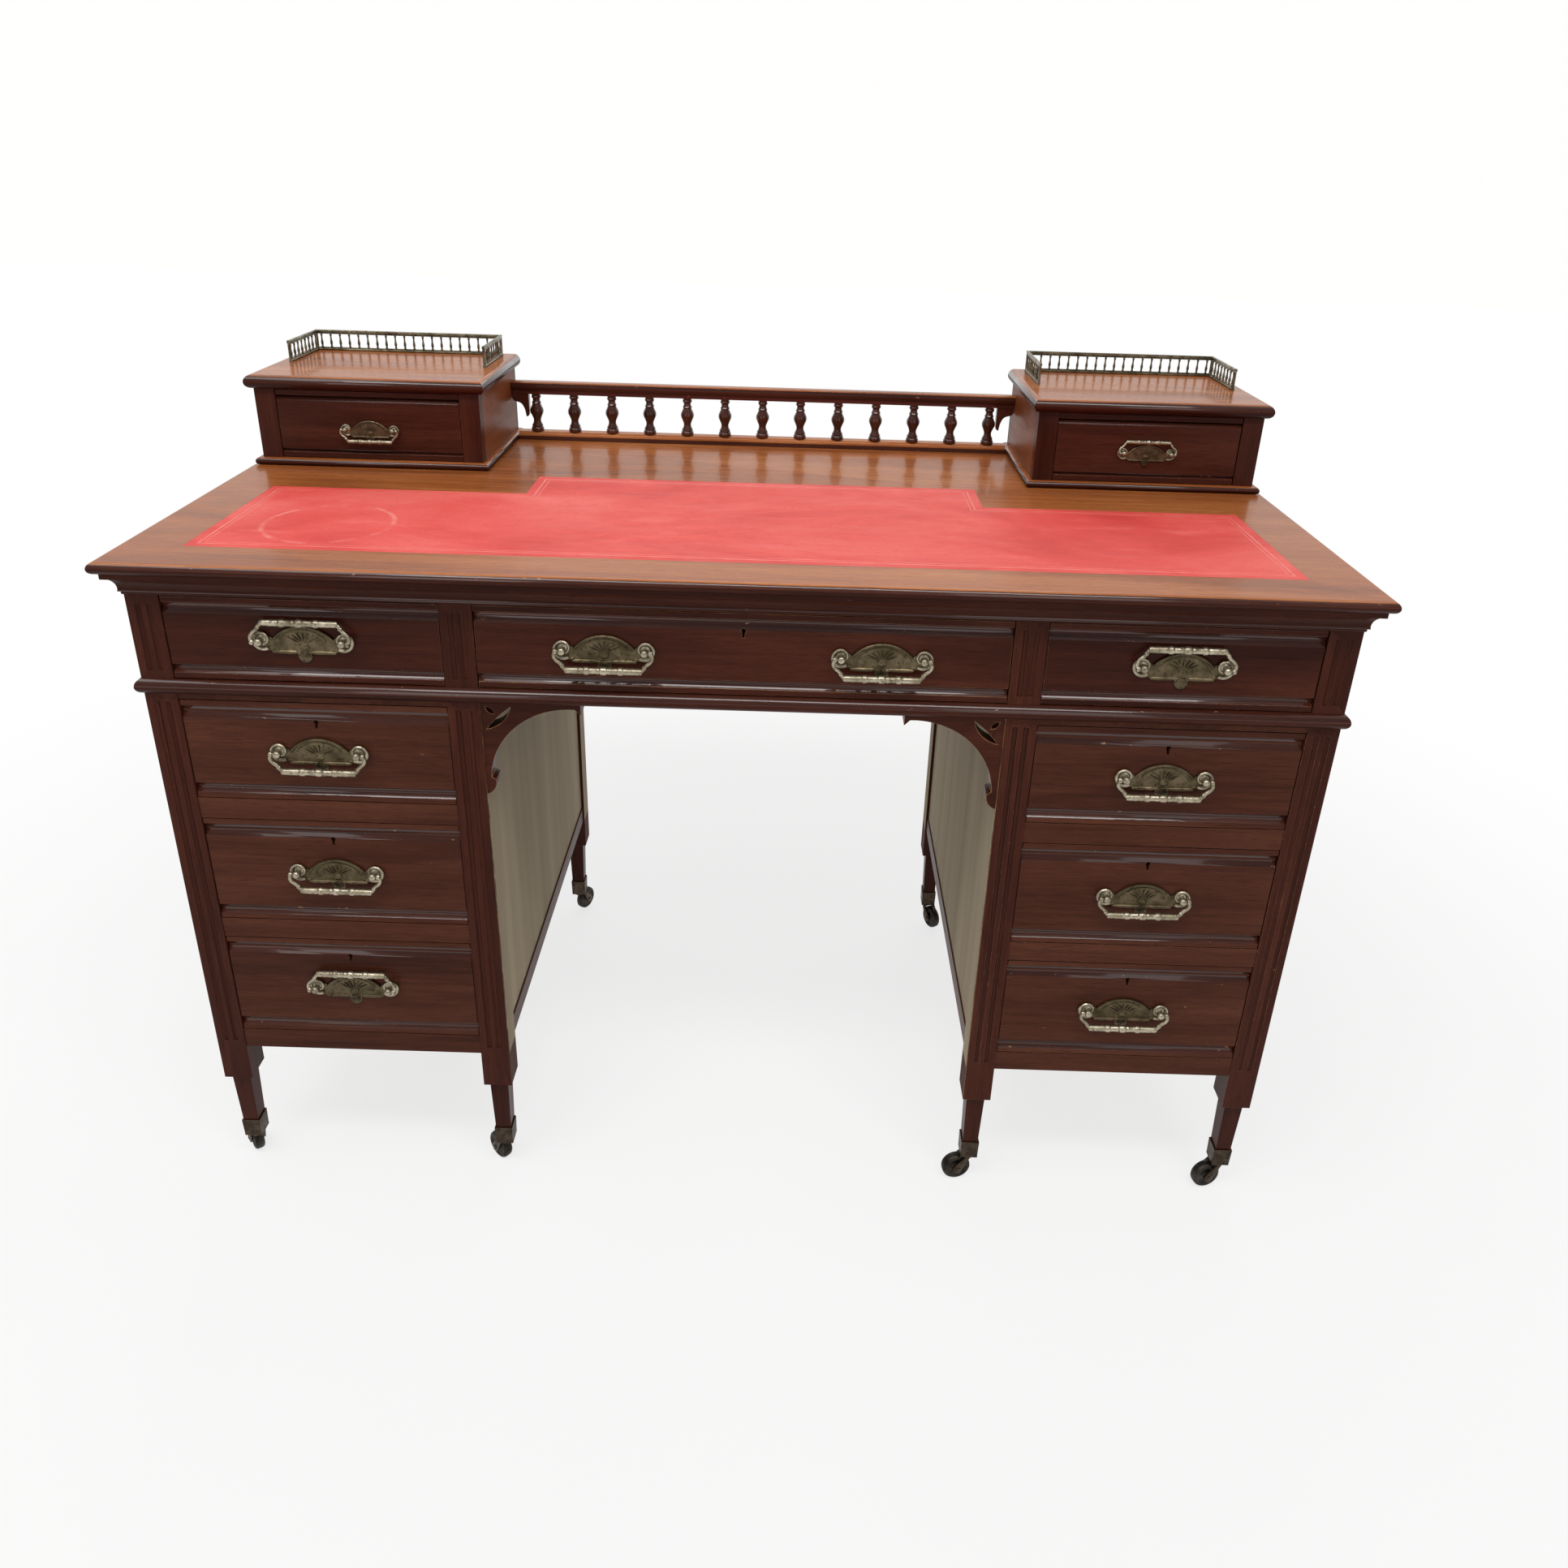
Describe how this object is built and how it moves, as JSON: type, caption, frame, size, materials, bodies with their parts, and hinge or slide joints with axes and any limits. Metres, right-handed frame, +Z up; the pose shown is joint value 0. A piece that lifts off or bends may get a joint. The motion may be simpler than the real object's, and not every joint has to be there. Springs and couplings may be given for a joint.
{
  "type": "kneehole desk",
  "caption": "Mahogany twin-pedestal writing desk with leather top, frieze and pedestal drawers, brass bail handles, galleried top boxes and brass castors.",
  "frame": {"origin": "on the floor under the middle of the top", "axes": "+X to the right along the width, +Y to the back, +Z up"},
  "size_m": [1.219, 0.582, 0.8995],
  "materials": {
    "mahogany": "french polished",
    "red_leather": "worn satin",
    "aged_brass": "aged",
    "bright_brass": "lacquered",
    "dark_iron": "worn"
  },
  "bodies": {
    "carcass": {"writing_top": "mahogany", "leather_skiver": "red_leather", "frieze_case": "mahogany", "left_pedestal": "mahogany", "right_pedestal": "mahogany", "kneehole_brackets": "mahogany", "castor_cups": "aged_brass", "top_box_cases": "mahogany", "spindle_gallery": "mahogany", "brass_galleries": "bright_brass"},
    "frieze_drawer_left": {"frieze_drawer_left": "mahogany", "frieze_drawer_left_fittings": "aged_brass"},
    "frieze_drawer_left_bail": {"frieze_drawer_left_bail": "aged_brass"},
    "left_drawer_upper": {"left_drawer_upper": "mahogany", "left_drawer_upper_fittings": "aged_brass"},
    "left_drawer_upper_bail": {"left_drawer_upper_bail": "aged_brass"},
    "left_drawer_middle": {"left_drawer_middle": "mahogany", "left_drawer_middle_fittings": "aged_brass"},
    "left_drawer_middle_bail": {"left_drawer_middle_bail": "aged_brass"},
    "left_drawer_lower": {"left_drawer_lower": "mahogany", "left_drawer_lower_fittings": "aged_brass"},
    "left_drawer_lower_bail": {"left_drawer_lower_bail": "aged_brass"},
    "box_drawer_left": {"box_drawer_left": "mahogany", "box_drawer_left_fittings": "aged_brass"},
    "box_drawer_left_bail": {"box_drawer_left_bail": "aged_brass"},
    "frieze_drawer_right": {"frieze_drawer_right": "mahogany", "frieze_drawer_right_fittings": "aged_brass"},
    "frieze_drawer_right_bail": {"frieze_drawer_right_bail": "aged_brass"},
    "right_drawer_upper": {"right_drawer_upper": "mahogany", "right_drawer_upper_fittings": "aged_brass"},
    "right_drawer_upper_bail": {"right_drawer_upper_bail": "aged_brass"},
    "right_drawer_middle": {"right_drawer_middle": "mahogany", "right_drawer_middle_fittings": "aged_brass"},
    "right_drawer_middle_bail": {"right_drawer_middle_bail": "aged_brass"},
    "right_drawer_lower": {"right_drawer_lower": "mahogany", "right_drawer_lower_fittings": "aged_brass"},
    "right_drawer_lower_bail": {"right_drawer_lower_bail": "aged_brass"},
    "box_drawer_right": {"box_drawer_right": "mahogany", "box_drawer_right_fittings": "aged_brass"},
    "box_drawer_right_bail": {"box_drawer_right_bail": "aged_brass"},
    "frieze_drawer_centre": {"frieze_drawer_centre": "mahogany", "frieze_drawer_centre_fittings": "aged_brass"},
    "frieze_drawer_centre_left_bail": {"frieze_drawer_centre_left_bail": "aged_brass"},
    "frieze_drawer_centre_right_bail": {"frieze_drawer_centre_right_bail": "aged_brass"},
    "left_outer_front_castor_fork": {"left_outer_front_castor_fork": "aged_brass"},
    "left_outer_front_castor_wheel": {"left_outer_front_castor_wheel": "dark_iron"},
    "left_inner_front_castor_fork": {"left_inner_front_castor_fork": "aged_brass"},
    "left_inner_front_castor_wheel": {"left_inner_front_castor_wheel": "dark_iron"},
    "right_inner_front_castor_fork": {"right_inner_front_castor_fork": "aged_brass"},
    "right_inner_front_castor_wheel": {"right_inner_front_castor_wheel": "dark_iron"},
    "right_outer_front_castor_fork": {"right_outer_front_castor_fork": "aged_brass"},
    "right_outer_front_castor_wheel": {"right_outer_front_castor_wheel": "dark_iron"},
    "left_outer_rear_castor_fork": {"left_outer_rear_castor_fork": "aged_brass"},
    "left_outer_rear_castor_wheel": {"left_outer_rear_castor_wheel": "dark_iron"},
    "left_inner_rear_castor_fork": {"left_inner_rear_castor_fork": "aged_brass"},
    "left_inner_rear_castor_wheel": {"left_inner_rear_castor_wheel": "dark_iron"},
    "right_inner_rear_castor_fork": {"right_inner_rear_castor_fork": "aged_brass"},
    "right_inner_rear_castor_wheel": {"right_inner_rear_castor_wheel": "dark_iron"},
    "right_outer_rear_castor_fork": {"right_outer_rear_castor_fork": "aged_brass"},
    "right_outer_rear_castor_wheel": {"right_outer_rear_castor_wheel": "dark_iron"}
  },
  "joints": [
    {"name": "frieze_drawer_left_slide", "type": "slide", "parent": "carcass", "child": "frieze_drawer_left", "axis": [0, -1, 0], "range_m": [0, 0.36]},
    {"name": "frieze_drawer_left_bail_swing", "type": "hinge", "parent": "frieze_drawer_left", "child": "frieze_drawer_left_bail", "pos_m": [-0.427, -0.2745, 0.686], "axis": [1, 0, 0], "range_deg": [0, 191]},
    {"name": "left_drawer_upper_slide", "type": "slide", "parent": "carcass", "child": "left_drawer_upper", "axis": [0, -1, 0], "range_m": [0, 0.36]},
    {"name": "left_drawer_upper_bail_swing", "type": "hinge", "parent": "left_drawer_upper", "child": "left_drawer_upper_bail", "pos_m": [-0.427, -0.2745, 0.5635], "axis": [-1, 0, 0], "range_deg": [0, 191]},
    {"name": "left_drawer_middle_slide", "type": "slide", "parent": "carcass", "child": "left_drawer_middle", "axis": [0, -1, 0], "range_m": [0, 0.36]},
    {"name": "left_drawer_middle_bail_swing", "type": "hinge", "parent": "left_drawer_middle", "child": "left_drawer_middle_bail", "pos_m": [-0.427, -0.2745, 0.42], "axis": [-1, 0, 0], "range_deg": [0, 191]},
    {"name": "left_drawer_lower_slide", "type": "slide", "parent": "carcass", "child": "left_drawer_lower", "axis": [0, -1, 0], "range_m": [0, 0.36]},
    {"name": "left_drawer_lower_bail_swing", "type": "hinge", "parent": "left_drawer_lower", "child": "left_drawer_lower_bail", "pos_m": [-0.427, -0.2745, 0.269], "axis": [1, 0, 0], "range_deg": [0, 191]},
    {"name": "box_drawer_left_slide", "type": "slide", "parent": "carcass", "child": "box_drawer_left", "axis": [0, -1, 0], "range_m": [0, 0.12]},
    {"name": "box_drawer_left_bail_swing", "type": "hinge", "parent": "box_drawer_left", "child": "box_drawer_left_bail", "pos_m": [-0.463, 0.07335, 0.812], "axis": [-1, 0, 0], "range_deg": [0, 191]},
    {"name": "frieze_drawer_right_slide", "type": "slide", "parent": "carcass", "child": "frieze_drawer_right", "axis": [0, -1, 0], "range_m": [0, 0.36]},
    {"name": "frieze_drawer_right_bail_swing", "type": "hinge", "parent": "frieze_drawer_right", "child": "frieze_drawer_right_bail", "pos_m": [0.427, -0.2745, 0.686], "axis": [1, 0, 0], "range_deg": [0, 191]},
    {"name": "right_drawer_upper_slide", "type": "slide", "parent": "carcass", "child": "right_drawer_upper", "axis": [0, -1, 0], "range_m": [0, 0.36]},
    {"name": "right_drawer_upper_bail_swing", "type": "hinge", "parent": "right_drawer_upper", "child": "right_drawer_upper_bail", "pos_m": [0.427, -0.2745, 0.5635], "axis": [-1, 0, 0], "range_deg": [0, 191]},
    {"name": "right_drawer_middle_slide", "type": "slide", "parent": "carcass", "child": "right_drawer_middle", "axis": [0, -1, 0], "range_m": [0, 0.36]},
    {"name": "right_drawer_middle_bail_swing", "type": "hinge", "parent": "right_drawer_middle", "child": "right_drawer_middle_bail", "pos_m": [0.427, -0.2745, 0.42], "axis": [-1, 0, 0], "range_deg": [0, 191]},
    {"name": "right_drawer_lower_slide", "type": "slide", "parent": "carcass", "child": "right_drawer_lower", "axis": [0, -1, 0], "range_m": [0, 0.36]},
    {"name": "right_drawer_lower_bail_swing", "type": "hinge", "parent": "right_drawer_lower", "child": "right_drawer_lower_bail", "pos_m": [0.427, -0.2745, 0.269], "axis": [-1, 0, 0], "range_deg": [0, 191]},
    {"name": "box_drawer_right_slide", "type": "slide", "parent": "carcass", "child": "box_drawer_right", "axis": [0, -1, 0], "range_m": [0, 0.12]},
    {"name": "box_drawer_right_bail_swing", "type": "hinge", "parent": "box_drawer_right", "child": "box_drawer_right_bail", "pos_m": [0.463, 0.07335, 0.812], "axis": [1, 0, 0], "range_deg": [0, 191]},
    {"name": "frieze_drawer_centre_slide", "type": "slide", "parent": "carcass", "child": "frieze_drawer_centre", "axis": [0, -1, 0], "range_m": [0, 0.36]},
    {"name": "frieze_drawer_centre_left_bail_swing", "type": "hinge", "parent": "frieze_drawer_centre", "child": "frieze_drawer_centre_left_bail", "pos_m": [-0.135, -0.2745, 0.686], "axis": [-1, 0, 0], "range_deg": [0, 191]},
    {"name": "frieze_drawer_centre_right_bail_swing", "type": "hinge", "parent": "frieze_drawer_centre", "child": "frieze_drawer_centre_right_bail", "pos_m": [0.135, -0.2745, 0.686], "axis": [-1, 0, 0], "range_deg": [0, 191]},
    {"name": "left_outer_front_castor_swivel", "type": "hinge", "parent": "carcass", "child": "left_outer_front_castor_fork", "pos_m": [-0.577, -0.25, 0.0365], "axis": [0, 0, 1], "continuous": true},
    {"name": "left_outer_front_castor_roll", "type": "hinge", "parent": "left_outer_front_castor_fork", "child": "left_outer_front_castor_wheel", "pos_m": [-0.58513, -0.23922, 0.017], "axis": [-0.7986, -0.6018, 0], "continuous": true},
    {"name": "left_inner_front_castor_swivel", "type": "hinge", "parent": "carcass", "child": "left_inner_front_castor_fork", "pos_m": [-0.277, -0.25, 0.0365], "axis": [0, 0, 1], "continuous": true},
    {"name": "left_inner_front_castor_roll", "type": "hinge", "parent": "left_inner_front_castor_fork", "child": "left_inner_front_castor_wheel", "pos_m": [-0.28703, -0.24097, 0.017], "axis": [-0.6691, -0.7431, 0], "continuous": true},
    {"name": "right_inner_front_castor_swivel", "type": "hinge", "parent": "carcass", "child": "right_inner_front_castor_fork", "pos_m": [0.277, -0.25, 0.0365], "axis": [0, 0, 1], "continuous": true},
    {"name": "right_inner_front_castor_roll", "type": "hinge", "parent": "right_inner_front_castor_fork", "child": "right_inner_front_castor_wheel", "pos_m": [0.26371, -0.25234, 0.017], "axis": [0.1736, -0.9848, 0], "continuous": true},
    {"name": "right_outer_front_castor_swivel", "type": "hinge", "parent": "carcass", "child": "right_outer_front_castor_fork", "pos_m": [0.577, -0.25, 0.0365], "axis": [0, 0, 1], "continuous": true},
    {"name": "right_outer_front_castor_roll", "type": "hinge", "parent": "right_outer_front_castor_fork", "child": "right_outer_front_castor_wheel", "pos_m": [0.56396, -0.25349, 0.017], "axis": [0.2588, -0.9659, 0], "continuous": true},
    {"name": "left_outer_rear_castor_swivel", "type": "hinge", "parent": "carcass", "child": "left_outer_rear_castor_fork", "pos_m": [-0.577, 0.259, 0.0365], "axis": [0, 0, 1], "continuous": true},
    {"name": "left_outer_rear_castor_roll", "type": "hinge", "parent": "left_outer_rear_castor_fork", "child": "left_outer_rear_castor_wheel", "pos_m": [-0.57351, 0.24596, 0.017], "axis": [0.9659, 0.2588, 0], "continuous": true},
    {"name": "left_inner_rear_castor_swivel", "type": "hinge", "parent": "carcass", "child": "left_inner_rear_castor_fork", "pos_m": [-0.277, 0.259, 0.0365], "axis": [0, 0, 1], "continuous": true},
    {"name": "left_inner_rear_castor_roll", "type": "hinge", "parent": "left_inner_rear_castor_fork", "child": "left_inner_rear_castor_wheel", "pos_m": [-0.27087, 0.27103, 0.017], "axis": [-0.891, 0.454, 0], "continuous": true},
    {"name": "right_inner_rear_castor_swivel", "type": "hinge", "parent": "carcass", "child": "right_inner_rear_castor_fork", "pos_m": [0.277, 0.259, 0.0365], "axis": [0, 0, 1], "continuous": true},
    {"name": "right_inner_rear_castor_roll", "type": "hinge", "parent": "right_inner_rear_castor_fork", "child": "right_inner_rear_castor_wheel", "pos_m": [0.28313, 0.24697, 0.017], "axis": [0.891, 0.454, 0], "continuous": true},
    {"name": "right_outer_rear_castor_swivel", "type": "hinge", "parent": "carcass", "child": "right_outer_rear_castor_fork", "pos_m": [0.577, 0.259, 0.0365], "axis": [0, 0, 1], "continuous": true},
    {"name": "right_outer_rear_castor_roll", "type": "hinge", "parent": "right_outer_rear_castor_fork", "child": "right_outer_rear_castor_wheel", "pos_m": [0.56832, 0.26934, 0.017], "axis": [-0.766, -0.6428, 0], "continuous": true}
  ]
}
